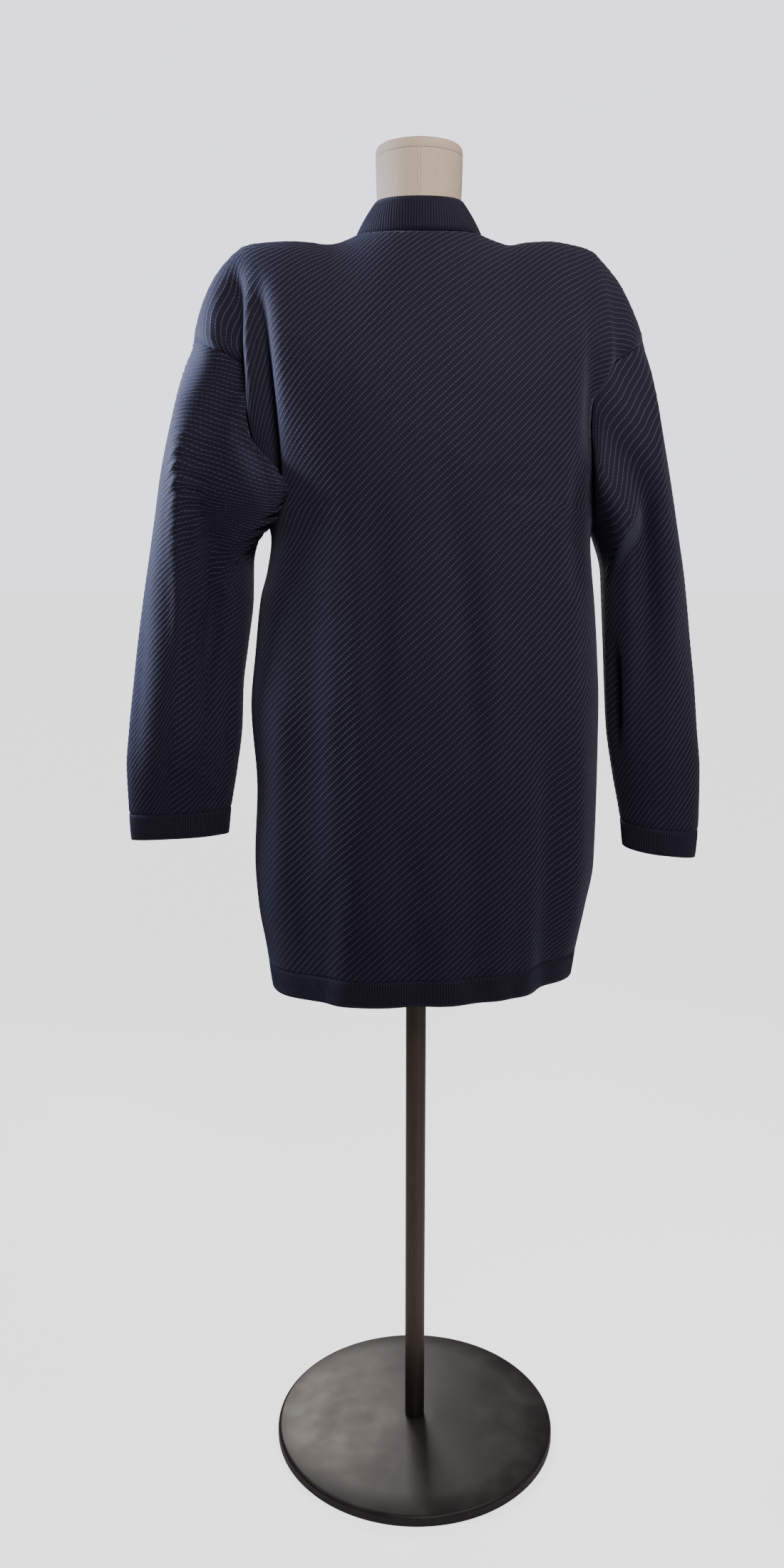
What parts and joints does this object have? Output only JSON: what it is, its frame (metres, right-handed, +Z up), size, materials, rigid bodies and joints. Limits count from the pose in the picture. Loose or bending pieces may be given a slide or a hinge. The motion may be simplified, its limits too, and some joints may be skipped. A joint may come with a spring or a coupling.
{
  "type": "oversized cardigan on a dress form",
  "caption": "Oversized drop-shoulder knitted cardigan, open at the front, with ribbed neck band, hem and cuffs, hanging on a limbless dress form with one pole and a round base.",
  "frame": {"origin": "on the floor, at the middle of the round base's underside, on the pole's axis", "axes": "+Z up along the pole, the cardigan's front faces -Y and its back +Y, the wearer's left is +X"},
  "size_m": [0.6678, 0.35, 1.536],
  "materials": {
    "navy_knit": "diagonally ribbed knit, matt",
    "navy_rib": "fine rib knit, matt",
    "linen": "plain-woven linen cover, matt",
    "cap_linen": "plain-woven linen cover, matt",
    "pole_steel": "dark brushed",
    "base_enamel": "dark satin enamel"
  },
  "bodies": {
    "root": {"back": "navy_knit", "front_left": "navy_knit", "front_right": "navy_knit", "sleeve_left": "navy_knit", "sleeve_right": "navy_knit", "band_left": "navy_rib", "band_right": "navy_rib", "hem_band_back": "navy_rib", "hem_band_front_left": "navy_rib", "hem_band_front_right": "navy_rib", "cuff_left": "navy_rib", "cuff_right": "navy_rib", "form_torso": "linen", "form_neck_cap": "cap_linen", "stand_pole": "pole_steel", "stand_base": "base_enamel"}
  },
  "joints": []
}
